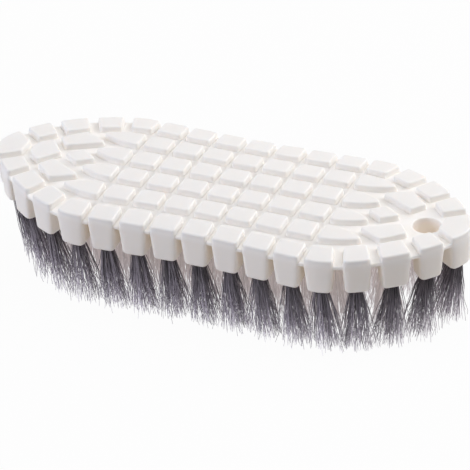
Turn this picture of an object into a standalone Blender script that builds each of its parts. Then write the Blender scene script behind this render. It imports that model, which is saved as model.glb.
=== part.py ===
"""Flexible scrubbing brush: a moulded block of pads and pegs on a thin web, with a tuft in every peg.

The block bends at eight straight grooves, so it is built as nine moulded strips that meet there.
Lengths are in metres. X runs along the brush towards the hanging hole, Y across it and Z up.
The origin is under the middle of the block, at the height of the bristle tips.
"""

import math

import bmesh
import bpy

# Plan of the block
COLUMNS = 7
COLUMN_PITCH = 0.0100
HALF_WIDTH = 0.0300
WAIST_DEPTH = 0.0013
END_LENGTH = 0.0427
ROUNDING_START = 0.0040
OUTLINE_POWER = 1.53
EDGE_SETBACK = 0.00025

# The rows across, as shares of the half width
ROW_PITCH_SHARE = 0.3433
PAD_DEPTH_SHARE = 0.2333
BORDER_WIDTH_SHARE = 0.2433

# Camber: the two inner rows lie level, and the outer rows and the border tilt down from them
OUTER_ROW_TILT = 2.6
BORDER_TILT = 7.1

# Heights
TUFT_LENGTH = 0.0210
PEG_HEIGHT = 0.0090
WEB_THICKNESS = 0.0011
HINGE_GAP = 0.0003
HINGE_DROP = 0.00025
PAD_HEIGHT = 0.0020

# Pads and pegs
PAD_LENGTH = 0.0078
PAD_DRAFT = 0.00015
PAD_EDGE_IN = 0.00028
PAD_EDGE_DOWN = 0.00035
PAD_CORNER = 0.0008
PEG_DRAFT_SHARE = 0.0429
PEG_EDGE = 0.0007
PEG_CORNER = 0.0011
BORDER_PROUD = 0.0001
RING_GAP = 0.0032
RING_GROOVE_ANGLES = (74, 57, 40, 23)
OUTER_LEAF_LENGTH = 0.0132
INNER_LEAF_LENGTH = 0.0114
LEAF_POWER = 2
LEAF_STEP_SHARES = (0.42, 0.74)

# End pads, as shares of the end's length and of the half width
BIG_PAD_SHARES = ((0.520, 0.145), (0.597, 0.285), (0.447, 0.470), (0.252, 0.340))
BIG_TUFT_SHARES = (0.452, 0.310)
SMALL_PAD_SHARES = ((0.232, 0.0), (0.355, -0.114), (0.473, 0.0), (0.355, 0.114))
SMALL_TUFT_SHARES = (0.353, 0.0)
AXIS_PAD_SHARES = (
    (0.510, 0.0),
    (0.630, -0.212),
    (0.712, -0.115),
    (0.738, 0.0),
    (0.712, 0.115),
    (0.630, 0.212),
)
AXIS_TUFT_SHARES = (0.625, 0.0)

# Hanging hole
HOLE_RADIUS = 0.0043
HOLE_PLACE_SHARE = 0.674
HOLE_SIDES = 24
COLLAR_WALL = 0.0012
COLLAR_DEPTH = 0.0060
COLLAR_DRAFT = 0.0002

# Tufts
BORE_SHARE = 0.49
BORE_WALL = 0.0003
BORE_ROOF = 0.0012
BORE_SIDES = 6
FIT_CLEARANCE = 0.0003
ROOT_RECESS = 0.0010
SLICE_THICKNESS = 0.0004
SLICE_WIDTH = 0.0016
STRAND_ROOT_SHARE = 0.20
STRAND_TIP = 0.00030
STRAND_SET_IN = 0.0005
STRAND_CIRCLE_SHARE = 0.36
TUFT_SPREAD = 0.0033
SHORTEST_CUT = 0.0018
CUT_SHARES = (0, 0.33, 0.67, 1)
STRANDS_AROUND = 4
STRAND_SIDES = 3
STRAND_TURNS = (-6, -3, 0, 3, 6)

# How finely curves are cut into faces
OUTLINE_STEPS = 9
TANGENT_STEP = 1
SHARP_TURN = 35
OVERRUN = 0.0010
SEAT = 0.0002

WHITE_PLASTIC = ("white_flexible_plastic", (0.88, 0.865, 0.85, 1), 0.42)
GREY_FILAMENT = ("grey_filament", (0.17, 0.155, 0.175, 1), 0.6)

END_START = COLUMNS * COLUMN_PITCH / 2
HALF_LENGTH = END_START + END_LENGTH
STRAIGHT_HALF = END_START + ROUNDING_START
GROOVE = COLUMN_PITCH - PAD_LENGTH
ROW_PITCH = ROW_PITCH_SHARE * HALF_WIDTH
PAD_DEPTH = PAD_DEPTH_SHARE * HALF_WIDTH
BORDER_WIDTH = BORDER_WIDTH_SHARE * HALF_WIDTH
FIRST_BEND = ROW_PITCH
SECOND_BEND = (1.5 * ROW_PITCH + PAD_DEPTH / 2 + HALF_WIDTH - BORDER_WIDTH) / 2
OUTER_ROW_SLOPE = math.tan(math.radians(OUTER_ROW_TILT))
BORDER_SLOPE = math.tan(math.radians(BORDER_TILT))
SECOND_BEND_DROP = (SECOND_BEND - FIRST_BEND) * OUTER_ROW_SLOPE
BORDER_DROP = SECOND_BEND_DROP + (HALF_WIDTH - BORDER_WIDTH / 2 - SECOND_BEND) * BORDER_SLOPE
PEG_BOTTOM = TUFT_LENGTH + BORDER_DROP
WEB_BOTTOM = PEG_BOTTOM + PEG_HEIGHT
WEB_TOP = WEB_BOTTOM + WEB_THICKNESS
WEB_MIDDLE = (WEB_BOTTOM + WEB_TOP) / 2
PAD_TOP = WEB_TOP + PAD_HEIGHT
HINGE_HEIGHT = WEB_MIDDLE - HINGE_DROP
PAD_SIDE = min(PAD_LENGTH, PAD_DEPTH)
PEG_DRAFT = PEG_DRAFT_SHARE * PAD_SIDE
BORE_RADIUS = BORE_SHARE * PAD_SIDE / 2
STRAND_CIRCLE = STRAND_CIRCLE_SHARE * BORE_RADIUS
STRAND_ROOT = STRAND_ROOT_SHARE * BORE_RADIUS
LEAF_START = END_START + GROOVE / 2
FIRST_RING_ANGLE, *_, LAST_RING_ANGLE = RING_GROOVE_ANGLES


def end_point(angle):
    """A point on the rounded end: 90 degrees is on the straight side, 0 is the tip."""
    across = max(math.cos(math.radians(angle)), 0) ** (2 / OUTLINE_POWER)
    up = max(math.sin(math.radians(angle)), 0) ** (2 / OUTLINE_POWER)
    return (STRAIGHT_HALF + (HALF_LENGTH - STRAIGHT_HALF) * across, HALF_WIDTH * up)


def half_width(x):
    """The block's half width at a place along it, drawn in to a waist in the middle."""
    along = min(abs(x) / STRAIGHT_HALF, 1)
    return HALF_WIDTH - WAIST_DEPTH * (1 - along * along) ** 2


def square_to_end(angle):
    """The outward direction of the rounded end at this angle."""
    x0, y0 = end_point(angle - TANGENT_STEP)
    x1, y1 = end_point(angle + TANGENT_STEP)
    length = math.hypot(x1 - x0, y1 - y0)
    return ((y1 - y0) / length, (x0 - x1) / length)


def camber(y):
    """How far the block lies below its level middle at this place across it."""
    if abs(y) > SECOND_BEND:
        return SECOND_BEND_DROP + (abs(y) - SECOND_BEND) * BORDER_SLOPE
    return max(abs(y) - FIRST_BEND, 0) * OUTER_ROW_SLOPE


def pad_tilt(pad):
    """The straight line that follows the camber under a stiff pad, as its drop on the axis and its slope."""
    low = min(y for _, y in pad["corners"])
    high = max(y for _, y in pad["corners"])
    slope = (camber(high) - camber(low)) / (high - low)
    return (camber(low) - slope * low, slope)


def end_place(shares):
    """A place on the end, from its shares of the end's length and of the half width."""
    return (END_START + shares[0] * END_LENGTH, shares[1] * HALF_WIDTH)


def centre_of(corners):
    return tuple(sum(corner[k] for corner in corners) / len(corners) for k in (0, 1))


def mirrored(pad, along, across):
    """The pad on the other end, the other side, or both."""
    sign_x = -1 if along else 1
    sign_y = -1 if across else 1
    corners = [(sign_x * x, sign_y * y) for x, y in pad["corners"]]
    if along != across:
        corners.reverse()
    tuft = (sign_x * pad["tuft"][0], sign_y * pad["tuft"][1])
    return {"corners": corners, "tuft": tuft}


def column_pad(column, row):
    """A pad of the straight part. Rows 0.5 and 1.5 are inner ones, None is the border, all on +Y."""
    x0 = column * COLUMN_PITCH - PAD_LENGTH / 2
    x1 = x0 + PAD_LENGTH
    if row is None:
        low = [half_width(x) - BORDER_WIDTH for x in (x0, x1)]
        high = [half_width(x) + BORDER_PROUD for x in (x0, x1)]
    else:
        width_shares = [half_width(x) / HALF_WIDTH for x in (x0, x1)]
        low = [(row * ROW_PITCH - PAD_DEPTH / 2) * share for share in width_shares]
        high = [(row * ROW_PITCH + PAD_DEPTH / 2) * share for share in width_shares]
    corners = [(x0, low[0]), (x1, low[1]), (x1, high[1]), (x0, high[0])]
    return {"corners": corners, "tuft": centre_of(corners)}


def ring_side(angle, before):
    """The two corners of a ring pad beside the groove at this angle, outer one first."""
    x, y = end_point(angle)
    out_x, out_y = square_to_end(angle)
    reach = RING_GAP / 2 * (-1 if before else 1)
    x, y = x + out_y * reach, y - out_x * reach
    outer = (x + out_x * BORDER_PROUD, y + out_y * BORDER_PROUD)
    inner = (x - out_x * BORDER_WIDTH, y - out_y * BORDER_WIDTH)
    return outer, inner


def ring_pad(high_angle, low_angle):
    """A border pad between two grooves that cross the ring square to the outline."""
    outer_high, inner_high = ring_side(high_angle, False)
    outer_low, inner_low = ring_side(low_angle, True)
    middle = end_point((high_angle + low_angle) / 2)
    out = square_to_end((high_angle + low_angle) / 2)
    crest = (middle[0] + out[0] * BORDER_PROUD, middle[1] + out[1] * BORDER_PROUD)
    corners = [inner_high, inner_low, outer_low, crest, outer_high]
    return {"corners": corners, "tuft": centre_of([inner_high, inner_low, outer_low, outer_high])}


def first_ring_pad():
    """The border pad beside the last straight groove: one side is square to X, the other to the outline."""
    outer, inner = ring_side(FIRST_RING_ANGLE, True)
    high = half_width(LEAF_START) + BORDER_PROUD
    low = half_width(LEAF_START) - BORDER_WIDTH
    bend = (STRAIGHT_HALF, high)
    corners = [(LEAF_START, low), inner, outer, bend, (LEAF_START, high)]
    return {"corners": corners, "tuft": centre_of([corners[0], inner, outer, corners[-1]])}


def tip_pad():
    """The border pad on the axis, at the very end."""
    outer, inner = ring_side(LAST_RING_ANGLE, False)
    bend = end_point(LAST_RING_ANGLE / 3)
    upper = [(bend[0] + BORDER_PROUD, bend[1]), outer, inner]
    lower = [(x, -y) for x, y in upper[::-1]]
    return {"corners": lower + upper, "tuft": ((HALF_LENGTH + inner[0]) / 2, 0)}


def leaf_pad(row, length):
    """A pad with a straight back at the last groove and two bowed sides that meet in a point."""
    middle = row * ROW_PITCH
    sides = [(0, 1)] + [(share, 1 - share**LEAF_POWER) for share in LEAF_STEP_SHARES]
    low = [(LEAF_START + t * length, middle - part * PAD_DEPTH / 2) for t, part in sides]
    high = [(LEAF_START + t * length, middle + part * PAD_DEPTH / 2) for t, part in sides]
    corners = low + [(LEAF_START + length, middle)] + high[::-1]
    return {"corners": corners, "tuft": (LEAF_START + PAD_LENGTH / 2, middle)}


def end_pads(with_hole):
    """Every pad of the +X end as (border pads in order round the end, inner pads)."""
    side = [first_ring_pad()]
    side += [ring_pad(*pair) for pair in zip(RING_GROOVE_ANGLES, RING_GROOVE_ANGLES[1:])]
    border = side + [tip_pad()] + [mirrored(pad, False, True) for pad in side[::-1]]
    big = {"corners": [end_place(s) for s in BIG_PAD_SHARES], "tuft": end_place(BIG_TUFT_SHARES)}
    small = {"corners": [end_place(s) for s in SMALL_PAD_SHARES], "tuft": end_place(SMALL_TUFT_SHARES)}
    pairs = [leaf_pad(0.5, INNER_LEAF_LENGTH), leaf_pad(1.5, OUTER_LEAF_LENGTH), big]
    inner = pairs + [mirrored(pad, False, True) for pad in pairs] + [small]
    if not with_hole:
        corners = [end_place(s) for s in AXIS_PAD_SHARES]
        inner.append({"corners": corners, "tuft": end_place(AXIS_TUFT_SHARES)})
    return border, inner


def edge_directions(corners):
    directions = []
    for (x0, y0), (x1, y1) in zip(corners, corners[1:] + corners[:1]):
        length = math.hypot(x1 - x0, y1 - y0)
        directions.append(((x1 - x0) / length, (y1 - y0) / length))
    return directions


def drawn_in(corners, distance):
    """The outline with every side moved in by this distance."""
    directions = edge_directions(corners)
    moved = []
    for k, (x, y) in enumerate(corners):
        before, after = directions[k - 1], directions[k]
        reach = distance / (1 + before[0] * after[0] + before[1] * after[1])
        moved.append((x - (before[1] + after[1]) * reach, y + (before[0] + after[0]) * reach))
    return moved


def shrunk(pad, inset):
    """The pad's outline drawn in towards its tuft, by this distance at the side nearest to the tuft.

    It is drawn in less where a thin wall would not stay round the bore.
    """
    corners = pad["corners"]
    x, y = pad["tuft"]
    directions = edge_directions(corners)
    nearest = min(dx * (y - y0) - dy * (x - x0) for (x0, y0), (dx, dy) in zip(corners, directions))
    share = 1 - min(inset, nearest - BORE_RADIUS - BORE_WALL) / nearest
    return [(x + (x0 - x) * share, y + (y0 - y) * share) for x0, y0 in corners]


def softened(corners, cut):
    """The outline with its sharp corners cut off, which leaves the moulded radius as one face."""
    directions = edge_directions(corners)
    points = []
    for k, (x, y) in enumerate(corners):
        before, after = directions[k - 1], directions[k]
        turn = math.degrees(math.acos(min(before[0] * after[0] + before[1] * after[1], 1)))
        if turn < SHARP_TURN:
            points.append((x, y))
            continue
        points.append((x - before[0] * cut, y - before[1] * cut))
        points.append((x + after[0] * cut, y + after[1] * cut))
    return points


def add_loft(mesh, rings, tilt=(0, 0)):
    """A closed body through rings of as many points each, lowest first, each turning left seen from above."""
    drop, slope = tilt
    loops = [[mesh.verts.new((x, y, z - drop - slope * y)) for x, y in points] for z, points in rings]
    for low, high in zip(loops, loops[1:]):
        for k in range(len(low)):
            after = (k + 1) % len(low)
            mesh.faces.new((low[k], low[after], high[after], high[k]))
    mesh.faces.new(loops[0][::-1])
    mesh.faces.new(loops[-1])


def bend_to_camber(mesh):
    """Bends a level body down on the lines between the rows, where it gets new edges first."""
    for y in (-SECOND_BEND, -FIRST_BEND, FIRST_BEND, SECOND_BEND):
        everything = mesh.verts[:] + mesh.edges[:] + mesh.faces[:]
        bmesh.ops.bisect_plane(mesh, geom=everything, plane_co=(0, y, 0), plane_no=(0, 1, 0))
    for vert in mesh.verts:
        vert.co.z -= camber(vert.co.y)


def circle(centre, radius, sides, turn=0):
    steps = [turn + 2 * math.pi * k / sides for k in range(sides)]
    return [(centre[0] + radius * math.cos(a), centre[1] + radius * math.sin(a)) for a in steps]


def rectangle(low, high):
    return [(low[0], low[1]), (high[0], low[1]), (high[0], high[1]), (low[0], high[1])]


def new_object(name, mesh, helper=False):
    data = bpy.data.meshes.new(name)
    mesh.to_mesh(data)
    mesh.free()
    data.shade_smooth()
    data.set_sharp_from_angle(angle=math.radians(SHARP_TURN))
    made = bpy.data.objects.new(name, data)
    bpy.context.scene.collection.objects.link(made)
    if helper:
        made.hide_render = True
        made.display_type = "WIRE"
    return made


def combine(target, other, operation):
    modifier = target.modifiers.new(operation.lower(), "BOOLEAN")
    modifier.operation = operation
    modifier.object = other
    modifier.solver = "EXACT"


def posts(name, pads):
    """Each pad and the peg under it as one tapered post, which is widest where it passes through the web."""
    mesh = bmesh.new()
    for pad in pads:
        levels = (
            (PEG_BOTTOM, PEG_DRAFT + PEG_EDGE, PEG_CORNER),
            (PEG_BOTTOM + PEG_EDGE, PEG_DRAFT, PEG_CORNER),
            (WEB_MIDDLE, 0, PAD_CORNER),
            (PAD_TOP - PAD_EDGE_DOWN, PAD_DRAFT, PAD_CORNER),
            (PAD_TOP, PAD_DRAFT + PAD_EDGE_IN, PAD_CORNER),
        )
        rings = [(z, softened(shrunk(pad, inset), corner)) for z, inset, corner in levels]
        add_loft(mesh, rings, pad_tilt(pad))
    return new_object(name, mesh, helper=True)


def bores(name, pads, roof):
    """The blind holes that the tufts are pushed into, as cutters."""
    mesh = bmesh.new()
    for pad in pads:
        ring = circle(pad["tuft"], BORE_RADIUS, BORE_SIDES, math.pi / BORE_SIDES)
        add_loft(mesh, [(PEG_BOTTOM - OVERRUN, ring), (roof, ring)], pad_tilt(pad))
    return new_object(name, mesh, helper=True)


def bars(name, runs, widen, low, high, helper):
    """Flat bars along X or Y between pairs of places, bent with the web and joined where they cross."""
    first = None
    for number, (start, end) in enumerate(runs):
        grow = SLICE_WIDTH / 2 + widen
        corners = rectangle(
            (min(start[0], end[0]) - grow, min(start[1], end[1]) - grow),
            (max(start[0], end[0]) + grow, max(start[1], end[1]) + grow),
        )
        mesh = bmesh.new()
        add_loft(mesh, [(low, corners), (high, corners)])
        bend_to_camber(mesh)
        bar = new_object(f"{name}_{number}", mesh, helper=helper or first is not None)
        if first is None:
            first = bar
        else:
            combine(first, bar, "UNION")
    return first


def web_strip(name, outline):
    mesh = bmesh.new()
    add_loft(mesh, [(WEB_BOTTOM, outline), (WEB_TOP, outline)])
    bend_to_camber(mesh)
    return new_object(name, mesh)


def column_outline(column):
    """The web of one straight column, seen from above, with a setback behind the faces of its border pads."""
    reach = (COLUMN_PITCH - HINGE_GAP) / 2
    places = [column * COLUMN_PITCH + k * reach for k in (-1, 0, 1)]
    edge = [(x, half_width(x) - EDGE_SETBACK) for x in places]
    return [(x, -y) for x, y in edge] + edge[::-1]


def end_outline():
    start = END_START + HINGE_GAP / 2
    edge = [(start, half_width(start))]
    edge += [end_point(90 * (1 - k / OUTLINE_STEPS)) for k in range(OUTLINE_STEPS + 1)]
    outline = [(x, -y) for x, y in edge[:-1]] + edge[::-1]
    inside = drawn_in(outline, EDGE_SETBACK)
    inside[0] = (start, inside[0][1])
    inside[-1] = (start, inside[-1][1])
    return inside


def slice_runs(inner):
    """Where the hidden strip runs that the inner tufts of one segment share."""
    places = [pad["tuft"] for pad in inner]
    runs = []
    for x in sorted({place[0] for place in places}):
        across = [place[1] for place in places if place[0] == x]
        if len(across) > 1:
            runs.append(((x, min(across)), (x, max(across))))
    on_axis = [place[0] for place in places if abs(place[1]) < FIT_CLEARANCE]
    if on_axis:
        xs = on_axis + [run[0][0] for run in runs]
        runs.append(((min(xs), 0), (max(xs), 0)))
    return runs


def add_hanging_hole(segment, name, centre):
    """The round hole through the web, and the short collar under it that the mould leaves round its wall."""
    bottom = WEB_TOP - COLLAR_DEPTH
    radius = HOLE_RADIUS + COLLAR_WALL
    collar = bmesh.new()
    rings = [
        (bottom, circle(centre, radius - COLLAR_DRAFT, HOLE_SIDES)),
        (WEB_MIDDLE, circle(centre, radius, HOLE_SIDES)),
    ]
    add_loft(collar, rings)
    combine(segment, new_object(name + "_collar", collar, helper=True), "UNION")
    hole = bmesh.new()
    ring = circle(centre, HOLE_RADIUS, HOLE_SIDES)
    add_loft(hole, [(bottom - OVERRUN, ring), (WEB_TOP + OVERRUN, ring)])
    combine(segment, new_object(name + "_hole", hole, helper=True), "DIFFERENCE")


def moulded_segment(name, outline, border, inner, hole=None):
    """One strip of the block: web, pads, pegs, bores, and the channel that the inner tufts' strip lies in."""
    segment = web_strip(name, outline)
    combine(segment, posts(name + "_posts", border + inner), "UNION")
    combine(segment, bores(name + "_border_bores", border, WEB_BOTTOM - BORE_ROOF), "DIFFERENCE")
    combine(segment, bores(name + "_inner_bores", inner, WEB_BOTTOM + SLICE_THICKNESS), "DIFFERENCE")
    channel = bars(
        name + "_channel",
        slice_runs(inner),
        FIT_CLEARANCE,
        WEB_BOTTOM - FIT_CLEARANCE,
        WEB_BOTTOM + SLICE_THICKNESS + FIT_CLEARANCE,
        True,
    )
    combine(segment, channel, "DIFFERENCE")
    if hole:
        add_hanging_hole(segment, name, hole)
    return segment


def strands(name, pads, seed):
    """Loose strands that fan out from each root and reach the tips' plane, where the lowest are cut flat."""
    mesh = bmesh.new()
    for number, pad in enumerate(pads):
        centre = pad["tuft"]
        drop, slope = pad_tilt(pad)
        top = PEG_BOTTOM + ROOT_RECESS + STRAND_SET_IN - drop - slope * centre[1]
        for k in range(STRANDS_AROUND + 1):
            turn = STRAND_TURNS[(seed + 3 * number + 2 * k) % len(STRAND_TURNS)]
            heading = math.pi / 4 + 2 * math.pi * k / STRANDS_AROUND + math.radians(turn)
            middle = k == STRANDS_AROUND
            root_reach = 0 if middle else STRAND_CIRCLE
            tip_reach = 0 if middle else TUFT_SPREAD
            cut = SHORTEST_CUT * CUT_SHARES[(seed + number + 2 * k) % len(CUT_SHARES)]
            root = [centre[0] + root_reach * math.cos(heading), centre[1] + root_reach * math.sin(heading)]
            tip = [centre[0] + tip_reach * math.cos(heading), centre[1] + tip_reach * math.sin(heading)]
            low = circle(tip, STRAND_TIP, STRAND_SIDES, heading)
            high = circle(root, STRAND_ROOT, STRAND_SIDES, heading)
            add_loft(mesh, [(cut if k else 0, low), (top, high)])
    return new_object(name, mesh, helper=True)


def roots(name, pads, top, helper):
    """The doubled filaments and their wire anchor, as the plug that fills each bore."""
    mesh = bmesh.new()
    for pad in pads:
        ring = circle(pad["tuft"], BORE_RADIUS - FIT_CLEARANCE, BORE_SIDES, math.pi / BORE_SIDES)
        add_loft(mesh, [(PEG_BOTTOM + ROOT_RECESS, ring), (top, ring)], pad_tilt(pad))
    return new_object(name, mesh, helper=helper)


def border_tuft(name, pad, seed):
    tuft = roots(name, [pad], WEB_BOTTOM - BORE_ROOF - FIT_CLEARANCE, False)
    combine(tuft, strands(name + "_strands", [pad], seed), "UNION")
    return tuft


def inner_tufts(name, inner, seed):
    """The inner tufts of one segment, joined by a thin strip that lies flush in the underside of the web."""
    group = bars(name, slice_runs(inner), 0, WEB_BOTTOM, WEB_BOTTOM + SLICE_THICKNESS, False)
    group.name = name
    combine(group, roots(name + "_roots", inner, WEB_BOTTOM + SEAT, True), "UNION")
    combine(group, strands(name + "_strands", inner, seed), "UNION")
    return group


def material(spec):
    name, colour, roughness = spec
    made = bpy.data.materials.new(name)
    made.use_nodes = True
    shader = made.node_tree.nodes["Principled BSDF"]
    shader.inputs["Base Color"].default_value = colour
    shader.inputs["Roughness"].default_value = roughness
    shader.inputs["Metallic"].default_value = 0
    return made


def hang(obj, axis):
    """Parents the object to the empty on its hinge line, and leaves it where it is."""
    obj.parent = axis
    obj.matrix_parent_inverse = axis.matrix_world.inverted()


def hinge_empty(name, x, parent):
    """An empty on a living hinge, a little below the level web because the web hangs lower at the sides."""
    empty = bpy.data.objects.new(name, None)
    bpy.context.scene.collection.objects.link(empty)
    empty.location = (x, 0, HINGE_HEIGHT)
    if parent is not None:
        hang(empty, parent)
    bpy.context.view_layer.update()
    return empty


for old in list(bpy.data.objects):
    bpy.data.objects.remove(old)

plastic = material(WHITE_PLASTIC)
filament = material(GREY_FILAMENT)

# The empties run outwards from the middle column, one on each living hinge
reach = COLUMNS // 2
axes = {0: hinge_empty("middle_column", 0, None)}
for step in range(1, reach + 2):
    for side in (-1, 1):
        line = side * (step - 1 / 2) * COLUMN_PITCH
        number = side * step + reach + (1 if side < 0 else 0) + 1
        axes[side * step] = hinge_empty(f"hinge_{number}", line, axes[side * (step - 1)])

# Straight columns
for column in range(-reach, reach + 1):
    number = column + reach + 1
    back = column_pad(column, None)
    border = [back, mirrored(back, False, True)]
    half = [column_pad(column, 0.5), column_pad(column, 1.5)]
    inner = half + [mirrored(pad, False, True) for pad in half]
    pieces = [
        (moulded_segment(f"block_column_{number}", column_outline(column), border, inner), plastic),
        (border_tuft(f"tuft_back_{number}", border[0], number), filament),
        (border_tuft(f"tuft_front_{number}", border[1], number + 2), filament),
        (inner_tufts(f"inner_tufts_{number}", inner, number), filament),
    ]
    for piece, finish in pieces:
        piece.data.materials.append(finish)
        hang(piece, axes[column])

# Rounded ends: the right one has the hanging hole
for side, end in ((1, "right"), (-1, "left")):
    border, inner = end_pads(with_hole=side > 0)
    outline = end_outline()
    if side < 0:
        border = [mirrored(pad, True, False) for pad in border]
        inner = [mirrored(pad, True, False) for pad in inner]
        outline = [(-x, y) for x, y in outline[::-1]]
    hole = (END_START + HOLE_PLACE_SHARE * END_LENGTH, 0) if side > 0 else None
    pieces = [
        (moulded_segment(f"block_{end}_end", outline, border, inner, hole), plastic),
        (inner_tufts(f"inner_tufts_{end}_end", inner, reach), filament),
    ]
    for number, pad in enumerate(border, 1):
        pieces.append((border_tuft(f"tuft_{end}_end_{number}", pad, number), filament))
    for piece, finish in pieces:
        piece.data.materials.append(finish)
        hang(piece, axes[side * (reach + 1)])
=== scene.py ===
"""Looks of a flexible scrubbing brush: white moulded block with a tuft of grey filaments in every peg.

X runs along the brush to the end with the hanging hole, Y across it and Z up from the bristle tips.
"""

import math

import bmesh
import bpy
import numpy as np
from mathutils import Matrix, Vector


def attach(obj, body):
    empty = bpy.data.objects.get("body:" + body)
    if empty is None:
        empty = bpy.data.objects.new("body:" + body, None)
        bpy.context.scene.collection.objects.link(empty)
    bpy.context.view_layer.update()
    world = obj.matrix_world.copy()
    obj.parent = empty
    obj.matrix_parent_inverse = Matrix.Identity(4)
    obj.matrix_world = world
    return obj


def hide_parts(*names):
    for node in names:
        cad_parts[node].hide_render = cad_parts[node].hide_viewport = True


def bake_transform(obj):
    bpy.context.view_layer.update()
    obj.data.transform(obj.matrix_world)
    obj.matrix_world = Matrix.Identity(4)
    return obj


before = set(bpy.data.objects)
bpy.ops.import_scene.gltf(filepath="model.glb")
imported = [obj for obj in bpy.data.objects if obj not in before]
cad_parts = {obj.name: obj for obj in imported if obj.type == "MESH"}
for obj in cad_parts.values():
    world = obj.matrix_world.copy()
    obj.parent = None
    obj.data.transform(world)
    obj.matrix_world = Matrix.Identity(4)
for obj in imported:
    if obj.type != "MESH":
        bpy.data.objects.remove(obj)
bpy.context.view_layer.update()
bpy.context.scene.view_settings.view_transform = "Standard"

# Camera: stands to the front and right of the brush, at the photograph's viewing angle, and looks down
# on it. The lens is a long one, so the near and far ends differ little in scale.
LENS = 250.4
SENSOR_WIDTH = 36
CAMERA_PLACE = (0.3431, -0.7758, 0.5553)
CAMERA_TURN = (57.4975, 2.0505, 22.4804)

camera_data = bpy.data.cameras.new("camera")
camera_data.lens = LENS
camera_data.sensor_width = SENSOR_WIDTH
camera = bpy.data.objects.new("camera", camera_data)
camera.location = CAMERA_PLACE
camera.rotation_euler = [math.radians(angle) for angle in CAMERA_TURN]
bpy.context.scene.collection.objects.link(camera)
bpy.context.scene.camera = camera

# Floor and light: a white table top, a wide soft lamp overhead, a lower one behind on the right and a weak
# cool one in front on the left. The floor and the world are white to the camera, and the floor keeps a
# faint shadow of the brush.
FLOOR_SIDE = 4
FLOOR_SHADOW = 0.035
FLOOR_COLOUR = (0.60, 0.59, 0.60, 1)
FLOOR_ROUGHNESS = 0.9
WHITE = (1, 1, 1, 1)
ROOM_LEVEL = 0.20
ROOM_COLOUR = (0.92, 0.93, 1.0, 1)
LAMPS = {  # place, side, watts and colour
    "overhead": ((0.15, 0.20, 1.20), 1.0, 7.0, (1.0, 0.98, 0.955)),
    "back_right": ((0.80, 0.64, 0.62), 0.8, 8.3, (1.0, 0.985, 0.97)),
    "front_left": ((-0.85, -0.60, 0.45), 0.5, 5.4, (0.84, 0.87, 1.0)),
}


class TreeMaker:
    """Adds nodes to a tree in a few words."""

    def __init__(self, tree):
        self.tree = tree

    def fill(self, node, values):
        """Sets or links the node's inputs, by name or by number."""
        for key, value in values.items():
            if isinstance(value, bpy.types.NodeSocket):
                self.tree.links.new(value, node.inputs[key])
            else:
                node.inputs[key].default_value = value
        return node

    def node(self, kind, values=(), **settings):
        made = self.tree.nodes.new(kind)
        for key, value in settings.items():
            setattr(made, key, value)
        return self.fill(made, dict(values))

    def math(self, operation, *values):
        return self.node("ShaderNodeMath", dict(enumerate(values)), operation=operation).outputs[0]


def light_path_share(m, names):
    """A socket that is 1 for any of the named kinds of ray."""
    path = m.node("ShaderNodeLightPath")
    total = path.outputs[names[0]]
    for name in names[1:]:
        total = m.math("MAXIMUM", total, path.outputs[name])
    return total


def new_object(name, mesh):
    data = bpy.data.meshes.new(name)
    mesh.to_mesh(data)
    mesh.free()
    made = bpy.data.objects.new(name, data)
    bpy.context.scene.collection.objects.link(made)
    return made


def build_floor():
    white_table = bpy.data.materials.new("white_table")
    white_table.use_nodes = True
    m = TreeMaker(white_table.node_tree)
    shader = m.tree.nodes["Principled BSDF"]
    m.fill(shader, {"Base Color": FLOOR_COLOUR, "Roughness": FLOOR_ROUGHNESS})
    glow = m.node("ShaderNodeEmission", {"Color": WHITE})
    seen = light_path_share(m, ["Is Camera Ray", "Is Glossy Ray"])
    plain = m.math("MULTIPLY", seen, 1 - FLOOR_SHADOW)
    mix = m.node("ShaderNodeMixShader", {"Fac": plain, 1: shader.outputs[0], 2: glow.outputs[0]})
    m.fill(m.tree.nodes["Material Output"], {"Surface": mix.outputs[0]})
    mesh = bmesh.new()
    bmesh.ops.create_grid(mesh, x_segments=1, y_segments=1, size=FLOOR_SIDE / 2)
    floor = new_object("table_top", mesh)
    floor.data.materials.append(white_table)
    return floor


def build_world():
    world = bpy.data.worlds.new("studio")
    bpy.context.scene.world = world
    world.use_nodes = True
    m = TreeMaker(world.node_tree)
    light = m.fill(m.tree.nodes["Background"], {"Color": ROOM_COLOUR, "Strength": ROOM_LEVEL})
    white = m.node("ShaderNodeBackground", {"Color": WHITE})
    seen = light_path_share(m, ["Is Camera Ray", "Is Glossy Ray", "Is Transmission Ray"])
    mix = m.node("ShaderNodeMixShader", {"Fac": seen, 1: light.outputs[0], 2: white.outputs[0]})
    m.fill(m.tree.nodes["World Output"], {"Surface": mix.outputs[0]})


def add_lamp(name, place, side, power, colour):
    lamp_data = bpy.data.lights.new(name, "AREA")
    lamp_data.shape = "SQUARE"
    lamp_data.size = side
    lamp_data.energy = power
    lamp_data.color = colour
    lamp = bpy.data.objects.new(name, lamp_data)
    lamp.location = place
    lamp.rotation_euler = Vector(place).to_track_quat("Z", "Y").to_euler()
    bpy.context.scene.collection.objects.link(lamp)


build_floor()
build_world()
for name, lamp in LAMPS.items():
    add_lamp(name, *lamp)

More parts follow.
